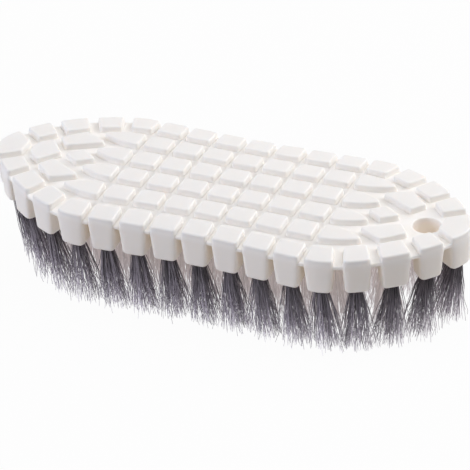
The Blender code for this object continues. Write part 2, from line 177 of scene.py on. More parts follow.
# Plan of the block: a bone-shaped oval with a straight middle of seven columns and two rounded ends.
# It is cambered: its inner rows lie level and the rows outside them tilt down, with the bends in the
# grooves between the rows. The pads, pegs and web below are laid out on these lines.
COLUMNS = 7
COLUMN_PITCH = 0.0100
HALF_WIDTH = 0.0300
WAIST_DEPTH = 0.0013
END_LENGTH = 0.0427
ROUNDING_START = 0.0040
OUTLINE_POWER = 1.53
BORDER_WIDTH = 0.0073
ROW_PITCH = 0.0103
INNER_ROW = 0.5
OUTER_ROW = 1.5
PAD_DEPTH = 0.0070
TUFT_LENGTH = 0.0210
PEG_HEIGHT = 0.0090
WEB_THICKNESS = 0.0011
PAD_HEIGHT = 0.0020
FIRST_BEND = ROW_PITCH
SECOND_BEND = (OUTER_ROW * ROW_PITCH + PAD_DEPTH / 2 + HALF_WIDTH - BORDER_WIDTH) / 2
OUTER_ROW_SLOPE = math.tan(math.radians(2.6))
BORDER_SLOPE = math.tan(math.radians(7.1))
SECOND_BEND_DROP = (SECOND_BEND - FIRST_BEND) * OUTER_ROW_SLOPE
PEG_BOTTOM = TUFT_LENGTH + SECOND_BEND_DROP + (HALF_WIDTH - BORDER_WIDTH / 2 - SECOND_BEND) * BORDER_SLOPE
WEB_BOTTOM = PEG_BOTTOM + PEG_HEIGHT
WEB_TOP = WEB_BOTTOM + WEB_THICKNESS
PAD_TOP = WEB_TOP + PAD_HEIGHT
END_START = COLUMNS * COLUMN_PITCH / 2
HALF_LENGTH = END_START + END_LENGTH
STRAIGHT_HALF = END_START + ROUNDING_START


def end_point(angle):
    """A point on the rounded end: 90 degrees is on the straight side, 0 is the tip."""
    across = max(math.cos(math.radians(angle)), 0) ** (2 / OUTLINE_POWER)
    up = max(math.sin(math.radians(angle)), 0) ** (2 / OUTLINE_POWER)
    return (STRAIGHT_HALF + (HALF_LENGTH - STRAIGHT_HALF) * across, HALF_WIDTH * up)


def half_width(x):
    """The half width at a place along the block, drawn in to a waist in the middle."""
    along = min(abs(x) / STRAIGHT_HALF, 1)
    return HALF_WIDTH - WAIST_DEPTH * (1 - along * along) ** 2


def square_to_end(angle):
    """The outward direction of the rounded end at this angle."""
    x0, y0 = end_point(angle - 1)
    x1, y1 = end_point(angle + 1)
    length = math.hypot(x1 - x0, y1 - y0)
    return ((y1 - y0) / length, (x0 - x1) / length)


def camber(y):
    """How far the block lies below its level middle at this place across it."""
    if abs(y) > SECOND_BEND:
        return SECOND_BEND_DROP + (abs(y) - SECOND_BEND) * BORDER_SLOPE
    return max(abs(y) - FIRST_BEND, 0) * OUTER_ROW_SLOPE


# White plastic: a soft, slightly glossy elastomer with a faint moulding grain and slow unevenness of the
# surface, which softens the reflections. It scatters some light under its surface. A warm glow is painted
# light: it brightens the floors of the grooves, the pegs and the thin wall round the hanging hole, for the
# light that the plastic lets through.
PLASTIC_COLOUR = (0.885, 0.866, 0.842, 1)
CLOUDED_COLOUR = (*[0.965 * channel for channel in PLASTIC_COLOUR[:3]], 1)
# Painted light: glow colours for the pegs below the web, the collar wall and the groove floors, and the
# heights where each fades in.
PEG_PAINTED_LIGHT = (0.052, 0.035, 0.014, 1)
COLLAR_PAINTED_LIGHT = (0.175, 0.122, 0.072, 1)
GROOVE_PAINTED_LIGHT = (0.062, 0.056, 0.048, 1)
NO_PAINTED_LIGHT = (0, 0, 0, 1)
GROOVE_PAINTED_LIGHT_HEIGHTS = (PAD_TOP - 0.0004, WEB_TOP + 0.0003)  # no glow above these, all of it below
PEG_PAINTED_LIGHT_HEIGHTS = (WEB_TOP - 0.0007, WEB_BOTTOM - 0.0017)
SCATTERED_SHARE = 0.8
SCATTER_TINT = (1.0, 0.93, 0.86)
SCATTER_DEPTH = 0.0016
PLASTIC_IOR = 1.46
PLASTIC_ROUGHNESS = (0.34, 0.46)
CLOUD_SCALE = 90
WAVE_SCALE = 420
GRAIN_SCALE = 6000
GRAIN_SHARE = 0.12
BUMP_STRENGTH = 0.35
BUMP_HEIGHT = 0.00012
HOLE_RADIUS = 0.0043
HOLE_PLACE_SHARE = 0.674
HOLE_PLACE = (END_START + HOLE_PLACE_SHARE * END_LENGTH, 0)
COLLAR_WALL = 0.0012


def build_plastic():
    plastic = bpy.data.materials.new("white_elastomer")
    plastic.use_nodes = True
    m = TreeMaker(plastic.node_tree)
    place = m.node("ShaderNodeTexCoord").outputs["Object"]
    x, y, z = m.node("ShaderNodeSeparateXYZ", {0: place}).outputs

    def noise(scale, detail):
        texture = m.node("ShaderNodeTexNoise", {"Vector": place, "Scale": scale, "Detail": detail})
        return texture.outputs["Fac"]

    def share(value, none, full):
        """Runs from 0 at the value for none to 1 at the value for full, and no further."""
        limits = {"Value": value, "From Min": none, "From Max": full}
        return m.node("ShaderNodeMapRange", limits).outputs["Result"]

    def mixed(factor, first, second):
        colours = {"Factor": factor, "A": first, "B": second}
        return m.node("ShaderNodeMix", colours, data_type="RGBA").outputs["Result"]

    cloud = noise(CLOUD_SCALE, 3)
    low, high = PLASTIC_ROUGHNESS
    gloss = m.node("ShaderNodeMapRange", {"Value": cloud, "To Min": low, "To Max": high})

    # Painted light: the glow is warm below the web, stronger in the collar round the hole, and weaker on the
    # floors of the grooves.
    flat_place = m.node("ShaderNodeCombineXYZ", {"X": x, "Y": y})
    centre = (*HOLE_PLACE, 0)
    aside = m.node("ShaderNodeVectorMath", {0: flat_place.outputs[0], 1: centre}, operation="DISTANCE")
    in_collar = share(aside.outputs["Value"], HOLE_RADIUS + COLLAR_WALL / 2, HOLE_RADIUS)
    painted_light_below_web = mixed(in_collar, PEG_PAINTED_LIGHT, COLLAR_PAINTED_LIGHT)
    across = m.math("ABSOLUTE", y)
    level = z
    for bend, slope in ((FIRST_BEND, OUTER_ROW_SLOPE), (SECOND_BEND, BORDER_SLOPE - OUTER_ROW_SLOPE)):
        past = m.math("MAXIMUM", m.math("SUBTRACT", across, bend), 0)
        level = m.math("ADD", level, m.math("MULTIPLY", past, slope))
    painted_light_in_groove = mixed(share(level, *GROOVE_PAINTED_LIGHT_HEIGHTS), NO_PAINTED_LIGHT, GROOVE_PAINTED_LIGHT)
    glow = mixed(share(z, *PEG_PAINTED_LIGHT_HEIGHTS), painted_light_in_groove, painted_light_below_web)

    height = m.math("MULTIPLY_ADD", noise(GRAIN_SCALE, 1), GRAIN_SHARE, noise(WAVE_SCALE, 2))
    bump = {"Height": height, "Strength": BUMP_STRENGTH, "Distance": BUMP_HEIGHT}
    m.fill(
        m.tree.nodes["Principled BSDF"],
        {
            "Base Color": mixed(cloud, PLASTIC_COLOUR, CLOUDED_COLOUR),
            "Metallic": 0,
            "Roughness": gloss.outputs["Result"],
            "IOR": PLASTIC_IOR,
            "Subsurface Weight": SCATTERED_SHARE,
            "Subsurface Radius": SCATTER_TINT,
            "Subsurface Scale": SCATTER_DEPTH,
            # The emission is the painted light.
            "Emission Color": glow,
            "Emission Strength": 1,
            "Normal": m.node("ShaderNodeBump", bump).outputs["Normal"],
        },
    )
    return plastic


plastic = build_plastic()

# Pads and pegs: each raised pad on top and the peg under it are one tapered post through the web. Their
# edges and corners are rounded by the mould, and a small fillet runs round the foot of each. Towards the
# grooves a post is a little fuller than the plain solid that it takes the place of.
FULLNESS = 0.00028
PEG_LIFT = 0.0004
PAD_LENGTH = 0.0078
BORDER_PROUD = 0.0001
PAD_CORNER = 0.0010
PAD_DRAFT = 0.00012
PAD_ROUNDING = 0.0006
PEG_DRAFT = 0.00030
PEG_ROUNDING = 0.0011
PEG_CORNER = 0.0018
BORE_RADIUS = 0.0017
BORE_WALL = 0.0003
FOOT_FILLET = 0.0003
RING_GAP = 0.0032
RING_GROOVE_ANGLES = (74, 57, 40, 23)
FIRST_CURVE_MARGIN = 5
TIP_CURVE_START = 2
OUTER_LEAF_LENGTH = 0.0132
INNER_LEAF_LENGTH = 0.0114
BIG_PAD_SHARES = ((0.520, 0.145), (0.597, 0.285), (0.447, 0.470), (0.252, 0.340))
BIG_TUFT_SHARES = (0.452, 0.310)
SMALL_PAD_SHARES = ((0.232, 0.0), (0.355, -0.114), (0.473, 0.0), (0.355, 0.114))
SMALL_TUFT_SHARES = (0.353, 0.0)
AXIS_PAD_SHARES = (
    (0.510, 0.0),
    (0.630, -0.212),
    (0.712, -0.115),
    (0.738, 0.0),
    (0.712, 0.115),
    (0.630, 0.212),
)
AXIS_TUFT_SHARES = (0.625, 0.0)
GROOVE = COLUMN_PITCH - PAD_LENGTH
LEAF_START = END_START + GROOVE / 2
CURVE_STEPS = 6
CORNER_STEPS = 7
CORNER_CROWDING = 1.6
CORNER_ALLOWANCE = 1.1
WIDEST_CORNER = 0.4
BLUNT_TURN = math.radians(30)
NARROWEST_STEP = 0.02
HALVINGS = 40
EDGE_STEPS = 5


def end_place(shares):
    """A place on the end, from its shares of the end's length and of the half width."""
    return (END_START + shares[0] * END_LENGTH, shares[1] * HALF_WIDTH)


def middle_of(points):
    return tuple(sum(point[k] for point in points) / len(points) for k in (0, 1))


def make_pad(corners, tuft=None, outer=()):
    """A convex pad: its corners turning left, where its tuft stands, and which of its sides face outwards."""
    return {"corners": list(corners), "tuft": tuft or middle_of(corners), "outer": set(outer)}


def mirrored(pad, along, across):
    """The pad on the other end, the other side, or both."""
    sign_x = -1 if along else 1
    sign_y = -1 if across else 1
    corners = [(sign_x * x, sign_y * y) for x, y in pad["corners"]]
    outer = set(pad["outer"])
    if along != across:
        corners.reverse()
        outer = {(len(corners) - 2 - k) % len(corners) for k in outer}
    return make_pad(corners, (sign_x * pad["tuft"][0], sign_y * pad["tuft"][1]), outer)


def column_pad(column, row):
    """A pad of the straight part, in this row or, where that is None, on the border of the +Y side."""
    x0 = column * COLUMN_PITCH - PAD_LENGTH / 2
    x1 = x0 + PAD_LENGTH
    if row is None:
        low = [half_width(x) - BORDER_WIDTH for x in (x0, x1)]
        high = [half_width(x) + BORDER_PROUD for x in (x0, x1)]
    else:
        shares = [half_width(x) / HALF_WIDTH for x in (x0, x1)]
        low = [(row * ROW_PITCH - PAD_DEPTH / 2) * share for share in shares]
        high = [(row * ROW_PITCH + PAD_DEPTH / 2) * share for share in shares]
    corners = [(x0, low[0]), (x1, low[1]), (x1, high[1]), (x0, high[0])]
    return make_pad(corners, outer=[2] if row is None else [])


def ring_side(angle, before):
    """The two corners of a ring pad beside the groove at this angle, outer one first."""
    x, y = end_point(angle)
    out_x, out_y = square_to_end(angle)
    reach = RING_GAP / 2 * (-1 if before else 1)
    x, y = x + out_y * reach, y - out_x * reach
    outer = (x + out_x * BORDER_PROUD, y + out_y * BORDER_PROUD)
    inner = (x - out_x * BORDER_WIDTH, y - out_y * BORDER_WIDTH)
    return outer, inner


def outer_curve(low_angle, high_angle):
    """Points on the block's outline between two angles, both left out."""
    points = []
    for k in range(1, CURVE_STEPS):
        angle = low_angle + (high_angle - low_angle) * k / CURVE_STEPS
        x, y = end_point(angle)
        out_x, out_y = square_to_end(angle)
        points.append((x + out_x * BORDER_PROUD, y + out_y * BORDER_PROUD))
    return points


def convex(points):
    """The points that a string pulled round them all would touch, turning left."""
    ordered = sorted(set(points))
    chains = []
    for run in (ordered, ordered[::-1]):
        chain = []
        for x, y in run:
            while len(chain) > 1:
                (x0, y0), (x1, y1) = chain[-2:]
                if (x1 - x0) * (y - y0) - (y1 - y0) * (x - x0) > 0:
                    break
                chain.pop()
            chain.append((x, y))
        chains.append(chain[:-1])
    return chains[0] + chains[1]


def border_pad(points, inner_points, tuft):
    """A border pad from its outline's points, whose inner corners are named so that the rest faces out."""
    corners = convex(points)
    outer = []
    for k, corner in enumerate(corners):
        after = corners[(k + 1) % len(corners)]
        if corner not in inner_points and after not in inner_points:
            outer.append(k)
    return make_pad(corners, tuft, outer)


def ring_pad(high_angle, low_angle):
    """A border pad between two grooves that cross the ring square to the outline."""
    outer_high, inner_high = ring_side(high_angle, False)
    outer_low, inner_low = ring_side(low_angle, True)
    margin = (high_angle - low_angle) / 5
    curve = outer_curve(low_angle + margin, high_angle - margin)
    tuft = middle_of((inner_high, inner_low, outer_low, outer_high))
    points = [inner_high, inner_low, outer_low, *curve, outer_high]
    return border_pad(points, (inner_high, inner_low), tuft)


def first_ring_pad():
    """The border pad beside the last straight groove: one side is square to X, the other to the outline."""
    outer, inner = ring_side(RING_GROOVE_ANGLES[0], True)
    high = half_width(LEAF_START) + BORDER_PROUD
    low = (LEAF_START, half_width(LEAF_START) - BORDER_WIDTH)
    curve = outer_curve(RING_GROOVE_ANGLES[0] + FIRST_CURVE_MARGIN, 90)
    tuft = middle_of((low, inner, outer, (LEAF_START, high)))
    points = [low, inner, outer, *curve, (STRAIGHT_HALF, high), (LEAF_START, high)]
    return border_pad(points, (low, inner), tuft)


def tip_pad():
    """The border pad on the axis, at the very end."""
    outer, inner = ring_side(RING_GROOVE_ANGLES[-1], False)
    reach = RING_GROOVE_ANGLES[-1] * 3 / 4
    half = [outer, *outer_curve(TIP_CURVE_START, reach), inner]
    points = half + [(x, -y) for x, y in half]
    inner_points = (inner, (inner[0], -inner[1]))
    return border_pad(points, inner_points, ((HALF_LENGTH + inner[0]) / 2, 0))


def leaf_pad(row, length):
    """A pad with a straight back at the last groove and two bowed sides that meet in a point."""
    middle = row * ROW_PITCH
    shares = [k / CURVE_STEPS for k in range(CURVE_STEPS)]
    low = [(LEAF_START + t * length, middle - (1 - t * t) * PAD_DEPTH / 2) for t in shares]
    high = [(LEAF_START + t * length, middle + (1 - t * t) * PAD_DEPTH / 2) for t in shares]
    corners = low + [(LEAF_START + length, middle)] + high[::-1]
    return make_pad(corners, (LEAF_START + PAD_LENGTH / 2, middle))


def end_pads(with_hole):
    """Every pad of the +X end as (border pads in order round the end, inner pads)."""
    side = [first_ring_pad()]
    side += [ring_pad(*pair) for pair in zip(RING_GROOVE_ANGLES, RING_GROOVE_ANGLES[1:])]
    border = side + [tip_pad()] + [mirrored(pad, False, True) for pad in side[::-1]]
    big = make_pad([end_place(s) for s in BIG_PAD_SHARES], end_place(BIG_TUFT_SHARES))
    pairs = [leaf_pad(INNER_ROW, INNER_LEAF_LENGTH), leaf_pad(OUTER_ROW, OUTER_LEAF_LENGTH), big]
    inner = pairs + [mirrored(pad, False, True) for pad in pairs]
    inner.append(make_pad([end_place(s) for s in SMALL_PAD_SHARES], end_place(SMALL_TUFT_SHARES)))
    if not with_hole:
        inner.append(make_pad([end_place(s) for s in AXIS_PAD_SHARES], end_place(AXIS_TUFT_SHARES)))
    return border, inner


def sides_of(pad, insets):
    """Each side as (outward x, outward y, reach), drawn in by its own inset."""
    sides = []
    corners = pad["corners"]
    for k, (x0, y0) in enumerate(corners):
        x1, y1 = corners[(k + 1) % len(corners)]
        length = math.hypot(x1 - x0, y1 - y0)
        out_x, out_y = (y1 - y0) / length, (x0 - x1) / length
        sides.append((out_x, out_y, out_x * x0 + out_y * y0 - insets[k]))
    return sides


def clipped(sides, centre, reach):
    """The corners of the area behind all the sides."""
    x, y = centre
    area = [(x - reach, y - reach), (x + reach, y - reach), (x + reach, y + reach), (x - reach, y + reach)]
    for out_x, out_y, limit in sides:
        kept = []
        for k, (x1, y1) in enumerate(area):
            x0, y0 = area[k - 1]
            over0 = out_x * x0 + out_y * y0 - limit
            over1 = out_x * x1 + out_y * y1 - limit
            if over0 * over1 < 0:
                share = over0 / (over0 - over1)
                kept.append((x0 + (x1 - x0) * share, y0 + (y1 - y0) * share))
            if over1 <= 0:
                kept.append((x1, y1))
        area = kept
    return area


def distances(points, area):
    """How far each point lies outside the area, and 0 inside."""
    corners = np.array(area)
    after = np.roll(corners, -1, axis=0)
    along = after - corners
    lengths = np.maximum((along**2).sum(1), 1e-18)
    to_point = points[:, None] - corners[None]
    share = np.clip((to_point * along[None]).sum(2) / lengths[None], 0, 1)
    nearest = corners[None] + share[..., None] * along[None]
    gap = np.sqrt(((points[:, None] - nearest) ** 2).sum(2)).min(1)
    cross = along[None, :, 0] * to_point[..., 1] - along[None, :, 1] * to_point[..., 0]
    return np.where((cross >= 0).all(1), 0, gap)


def directions_round(pad):
    """The directions from the tuft in which the outline gets its points: close together at sharp corners."""
    corners = pad["corners"]
    x, y = pad["tuft"]
    angles = []
    for k, (x1, y1) in enumerate(corners):
        x0, y0 = corners[k - 1]
        x2, y2 = corners[(k + 1) % len(corners)]
        turn = math.atan2(y2 - y1, x2 - x1) - math.atan2(y1 - y0, x1 - x0)
        turn = abs((turn + math.pi) % (2 * math.pi) - math.pi)
        toward = math.atan2(y1 - y, x1 - x)
        if turn < BLUNT_TURN:
            angles.append(toward)
            continue
        reach = math.hypot(x1 - x, y1 - y)
        spread = min(CORNER_ALLOWANCE * PEG_CORNER * math.tan(turn / 2) / reach, WIDEST_CORNER)
        shares = [2 * j / CORNER_STEPS - 1 for j in range(CORNER_STEPS + 1)]
        angles += [toward + spread * math.copysign(abs(t) ** CORNER_CROWDING, t) for t in shares]
    angles = sorted(angle % (2 * math.pi) for angle in angles)
    kept = [angle for k, angle in enumerate(angles) if k == 0 or angle - angles[k - 1] > NARROWEST_STEP]
    return np.array(kept)


def post_ring(pad, angles, inset, outer_inset, corner):
    """The outline at one height: every side drawn in, and the corners rounded to this radius."""
    insets = [(outer_inset if k in pad["outer"] else inset) + corner for k in range(len(pad["corners"]))]
    centre = np.array(pad["tuft"])
    area = clipped(sides_of(pad, insets), pad["tuft"], 4 * PAD_LENGTH)
    toward = np.stack([np.cos(angles), np.sin(angles)], 1)
    near, far = np.zeros(len(angles)), np.full(len(angles), 2 * PAD_LENGTH)
    for _ in range(HALVINGS):
        middle = (near + far) / 2
        inside = distances(centre + toward * middle[:, None], area) < corner
        near, far = np.where(inside, middle, near), np.where(inside, far, middle)
    return centre + toward * near[:, None]


def post_levels():
    """The post's side from the peg's bottom to the pad's top, as (height, inset, outer inset, corner)."""
    levels = []
    for k in range(EDGE_STEPS + 1):
        turn = math.pi / 2 * k / EDGE_STEPS
        inset = PEG_DRAFT + PEG_ROUNDING * (1 - math.sin(turn))
        corner = PEG_CORNER - PEG_ROUNDING * (1 - math.sin(turn))
        height = PEG_BOTTOM + PEG_LIFT + PEG_ROUNDING * (1 - math.cos(turn))
        levels.append((height, inset - FULLNESS, inset, corner))
    for height, fillet in (
        (WEB_BOTTOM - FOOT_FILLET, 0),
        (WEB_BOTTOM - FOOT_FILLET / 3, FOOT_FILLET / 4),
        (WEB_BOTTOM + FOOT_FILLET / 3, FOOT_FILLET / 2),
        (WEB_TOP - FOOT_FILLET / 3, FOOT_FILLET / 2),
        (WEB_TOP + FOOT_FILLET / 3, FOOT_FILLET / 4),
        (WEB_TOP + FOOT_FILLET, 0),
    ):
        levels.append((height, -FULLNESS - fillet, 0, PAD_CORNER))
    for k in range(EDGE_STEPS + 1):
        turn = math.pi / 2 * k / EDGE_STEPS
        inset = PAD_DRAFT + PAD_ROUNDING * (1 - math.cos(turn))
        corner = PAD_CORNER - PAD_ROUNDING * (1 - math.cos(turn))
        levels.append((PAD_TOP - PAD_ROUNDING * (1 - math.sin(turn)), inset - FULLNESS, inset, corner))
    return levels


def pad_tilt(pad):
    """The straight line that follows the camber under a stiff pad, as its drop on the axis and its slope."""
    low = min(y for _, y in pad["corners"])
    high = max(y for _, y in pad["corners"])
    slope = (camber(high) - camber(low)) / (high - low)
    return (camber(low) - slope * low, slope)


def add_loft(mesh, rings, tilt=(0, 0)):
    """A closed body through rings of as many points each, lowest first, each turning left seen from above."""
    drop, slope = tilt
    loops = [[mesh.verts.new((x, y, z - drop - slope * y)) for x, y in points] for z, points in rings]
    for low, high in zip(loops, loops[1:]):
        for k in range(len(low)):
            after = (k + 1) % len(low)
            mesh.faces.new((low[k], low[after], high[after], high[k]))
    mesh.faces.new(loops[0][::-1])
    mesh.faces.new(loops[-1])


def room_round_bore(pad):
    """How far the nearest side can be drawn in before the wall round the bore gets too thin."""
    x, y = pad["tuft"]
    sides = sides_of(pad, [0] * len(pad["corners"]))
    nearest = min(reach - out_x * x - out_y * y for out_x, out_y, reach in sides)
    return nearest - BORE_RADIUS - BORE_WALL


def build_posts(pads):
    mesh = bmesh.new()
    for pad in pads:
        angles = directions_round(pad)
        room = room_round_bore(pad)
        rings = []
        for z, inset, outer_inset, corner in post_levels():
            rings.append((z, post_ring(pad, angles, min(inset, room), min(outer_inset, room), corner)))
        add_loft(mesh, rings, pad_tilt(pad))
    return new_object("posts", mesh)


# Web: the thin skin that joins the posts, with a softly rounded edge a little behind the border posts'
# faces. It is moulded in one with them and stiff under them. A short collar stands round the hanging hole
# on its underside, and every peg has a bore for its tuft.
EDGE_SETBACK = 0.00025
WEB_EDGE = 0.0003
HINGE_SHARE = 0.82
STRIP_REACH = GROOVE / 2 * HINGE_SHARE
COLUMN_STEPS = 4
OUTLINE_STEPS = 24
HOLE_SIDES = 48
COLLAR_DEPTH = 0.0060
COLLAR_DRAFT = 0.0002
COLLAR_ROUNDING = 0.0003
RIM_SHARE = 0.3
BORE_SIDES = 16
BORE_DEPTH = 0.0030
OVERRUN = 0.0010
CUT_TOLERANCE = 1e-7
SHARP_ANGLE = math.radians(50)
FLAT_FACE_WEIGHT = 80


def web_levels():
    """The web's edge from its underside to its top, as (height, inset)."""
    levels = []
    for k in range(EDGE_STEPS):
        turn = math.pi / 2 * k / (EDGE_STEPS - 1)
        levels.append((WEB_BOTTOM + WEB_EDGE * (1 - math.cos(turn)), WEB_EDGE * (1 - math.sin(turn))))
    return levels + [(WEB_BOTTOM + WEB_TOP - z, inset) for z, inset in levels[::-1]]


def strip_outline(x0, x1, steps, inset):
    """The web between two places along the straight part, seen from above."""
    places = [x0 + (x1 - x0) * k / steps for k in range(steps + 1)]
    edge = [(x, half_width(x) - EDGE_SETBACK - inset) for x in places]
    return [(x, -y) for x, y in edge] + edge[::-1]


def end_outline(side, inset):
    """The web of the rounded end on this side, seen from above."""
    start = END_START + STRIP_REACH
    edge = [(start, half_width(start) - EDGE_SETBACK - inset)]
    for k in range(OUTLINE_STEPS + 1):
        angle = 90 * (1 - k / OUTLINE_STEPS)
        x, y = end_point(angle)
        out_x, out_y = square_to_end(angle) if 0 < angle < 90 else ((1, 0) if angle == 0 else (0, 1))
        edge.append((x - out_x * (EDGE_SETBACK + inset), y - out_y * (EDGE_SETBACK + inset)))
    outline = [(x, -y) for x, y in edge[:-1]] + edge[::-1]
    return outline if side > 0 else [(-x, y) for x, y in outline[::-1]]


def add_edges(mesh, place, across):
    """Gives the body new edges on the plane through this place, square to this direction."""
    everything = mesh.verts[:] + mesh.edges[:] + mesh.faces[:]
    bmesh.ops.bisect_plane(mesh, geom=everything, plane_co=place, plane_no=across, dist=CUT_TOLERANCE)


def build_web(name, outline, cuts=()):
    """A stretch of the web from its outline at each inset, bent down on the lines between the rows."""
    mesh = bmesh.new()
    add_loft(mesh, [(z, outline(inset)) for z, inset in web_levels()])
    for x in cuts:
        add_edges(mesh, (x, 0, 0), (1, 0, 0))
    for y in (-SECOND_BEND, -FIRST_BEND, FIRST_BEND, SECOND_BEND):
        add_edges(mesh, (0, y, 0), (0, 1, 0))
    for vert in mesh.verts:
        vert.co.z -= camber(vert.co.y)
    return new_object(name, mesh)


def circle(centre, radius, sides):
    angles = [2 * math.pi * k / sides for k in range(sides)]
    return [(centre[0] + radius * math.cos(a), centre[1] + radius * math.sin(a)) for a in angles]


def build_collar():
    """The collar, with its lower rim rounded and its top inside the web."""
    rings = []
    for share, inset in ((0, COLLAR_ROUNDING), (RIM_SHARE, RIM_SHARE * COLLAR_ROUNDING), (1, 0)):
        radius = HOLE_RADIUS + COLLAR_WALL - COLLAR_DRAFT - inset
        height = WEB_TOP - COLLAR_DEPTH + COLLAR_ROUNDING * share
        rings.append((height, circle(HOLE_PLACE, radius, HOLE_SIDES)))
    middle = (WEB_BOTTOM + WEB_TOP) / 2
    rings.append((middle, circle(HOLE_PLACE, HOLE_RADIUS + COLLAR_WALL, HOLE_SIDES)))
    mesh = bmesh.new()
    add_loft(mesh, rings)
    return new_object("collar", mesh)


def build_cutters(pads, hole):
    """What is cut out of a block: a bore in each peg, and the hanging hole with its eased upper rim."""
    mesh = bmesh.new()
    for pad in pads:
        ring = circle(pad["tuft"], BORE_RADIUS, BORE_SIDES)
        add_loft(mesh, [(PEG_BOTTOM - OVERRUN, ring), (PEG_BOTTOM + BORE_DEPTH, ring)], pad_tilt(pad))
    if hole:
        rings = []
        for height, share in (
            (WEB_TOP - COLLAR_DEPTH - OVERRUN, 0),
            (WEB_TOP - WEB_EDGE, 0),
            (WEB_TOP - WEB_EDGE / 3, RIM_SHARE),
            (WEB_TOP, 1),
            (WEB_TOP + OVERRUN, 1),
        ):
            rings.append((height, circle(HOLE_PLACE, HOLE_RADIUS + WEB_EDGE * share, HOLE_SIDES)))
        add_loft(mesh, rings)
    return new_object("cutters", mesh)


def settle(obj):
    """Makes the object's modifiers part of its mesh."""
    graph = bpy.context.evaluated_depsgraph_get()
    data = bpy.data.meshes.new_from_object(obj.evaluated_get(graph))
    obj.modifiers.clear()
    obj.data = data


def combine(target, other, operation):
    """Joins the other object to the target, or cuts it out, and removes it."""
    modifier = target.modifiers.new("combine", "BOOLEAN")
    modifier.operation = operation
    modifier.object = other
    settle(target)
    bpy.data.objects.remove(other)


def put_plastic_on(piece):
    """Gives the piece its plastic, with flat faces shaded flat and rounded ones round."""
    piece.data.materials.clear()
    piece.data.materials.append(plastic)
    piece.data.shade_smooth()
    piece.data.set_sharp_from_angle(angle=SHARP_ANGLE)


def finish_block(segment, pads, name, nodes, body, hole=False):
    """Joins posts and collar to the web, cuts the bores and the hole, and puts the block on its body."""
    combine(segment, build_posts(pads), "UNION")
    if hole:
        combine(segment, build_collar(), "UNION")
    combine(segment, build_cutters(pads, hole), "DIFFERENCE")
    segment.name = name
    segment.data.name = name
    put_plastic_on(segment)
    weights = segment.modifiers.new("flat_faces", "WEIGHTED_NORMAL")
    weights.keep_sharp = True
    weights.weight = FLAT_FACE_WEIGHT
    settle(segment)
    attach(segment, body)
    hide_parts(*nodes)


layout = {}
for number in range(1, COLUMNS + 1):
    column = number - 1 - COLUMNS // 2
    body = f"column_{number}"
    middle = column * COLUMN_PITCH
    ends = (middle - COLUMN_PITCH / 2 + STRIP_REACH, middle + COLUMN_PITCH / 2 - STRIP_REACH)
    back = column_pad(column, None)
    half = [column_pad(column, INNER_ROW), column_pad(column, OUTER_ROW)]
    border = [back, mirrored(back, False, True)]
    inner = half + [mirrored(pad, False, True) for pad in half]
    segment = build_web("web", lambda inset: strip_outline(*ends, COLUMN_STEPS, inset))
    finish_block(segment, border + inner, f"moulded_{body}", [f"block_{body}"], body)
    layout[body] = (border, inner)

for side, body in ((1, "right_end"), (-1, "left_end")):
    border, inner = end_pads(with_hole=side > 0)
    if side < 0:
        border = [mirrored(pad, True, False) for pad in border]
        inner = [mirrored(pad, True, False) for pad in inner]
    segment = build_web("web", lambda inset: end_outline(side, inset))
    finish_block(segment, border + inner, f"moulded_{body}", [f"block_{body}"], body, hole=side > 0)
    layout[body] = (border, inner)

# Living hinges: the same web in each transverse groove, soft plastic that is thin enough to bend there.
# Each hinge abuts the stiff strips on both sides of it and is cut across at even steps between them.
STRIP_STEPS = 8

bodies = ["left_end"] + [f"column_{number}" for number in range(1, COLUMNS + 1)] + ["right_end"]
for number, (left, right) in enumerate(zip(bodies, bodies[1:]), 1):
    line = (number - (COLUMNS + 2) / 2) * COLUMN_PITCH
    ends = (line - STRIP_REACH, line + STRIP_REACH)
    cuts = [line + STRIP_REACH * (2 * k / STRIP_STEPS - 1) for k in range(1, STRIP_STEPS)]
    strip = build_web(
        f"living_hinge_{number}", lambda inset: strip_outline(*ends, STRIP_STEPS, inset), cuts
    )
    put_plastic_on(strip)
    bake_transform(strip)

# Filaments: fine grey synthetic hairs, doubled over an anchor in each bore, crimped a little and cut at one
# level. They leave the peg as a tight bundle and spread until neighbouring tufts mingle. The grey ones darken
# towards the roots as painted shade of the dense bundle. The inner tufts are paler, partly in their own beige
# and partly as painted light, and carry a painted glow for the light that passes through the block.
# Root, belly and tip colours. The grey's dark roots are painted shade of the dense bundle; the pale is partly
# its own beige and partly painted light.
GREY_RAMP_WITH_PAINTED_ROOT_SHADE = ((0.080, 0.066, 0.076, 1), (0.38, 0.345, 0.39, 1), (0.90, 0.85, 0.91, 1))
PALE_SHADES = ((0.665, 0.595, 0.56, 1), (0.645, 0.585, 0.58, 1), (0.73, 0.695, 0.72, 1))
GREY_VARIATION = (0.45, 1.9)
PALE_VARIATION = (0.85, 1.15)
# Strength of a painted glow, which stands for the light that the filaments carry.
GREY_PAINTED_GLOW = 0.0
PALE_PAINTED_GLOW = 0.28
BELLY_SHARE = 0.45
FILAMENT_ROUGHNESS = 0.34
FILAMENTS_INNER = 110
TUFT_MAKEUP = {  # filaments of a border tuft, and how uneven the ends are
    "column": (150, 0.0044),
    "left_end": (98, 0.0052),
    "right_end": (132, 0.0034),
}
FILAMENT_POINTS = 14
FILAMENT_SIDES = 3
ROOT_RADIUS = 0.00155
TIP_RADIUS = 0.0074
THICKNESS = 0.00012
TIP_THINNING = 0.45
CRIMP = 0.00040
SET_IN = 0.0012
SQUASH = 0.72
DRIFT = 0.0016
LEAN = 0.15
LEAN_STARTS = {"left": 0.034, "right": 0.038}
GOLDEN_TURN = 2.39996
CROSS_BEAT = 1.3
RAGGED_POWER = 1.6
SEED_STEP = 31
BORDER_SEED = 6
INNER_SEED = 5
# The limits between which filaments differ from each other.
HEADINGS = (-0.5, 0.5)
REACHES = (0.5, 1.05)
EASES = (0.7, 1.15)
SWIRLS = (-0.5, 0.5)
SWINGS = (0.2, 1.6)
PHASES = (0, 6.28)
BEATS = (4, 14)


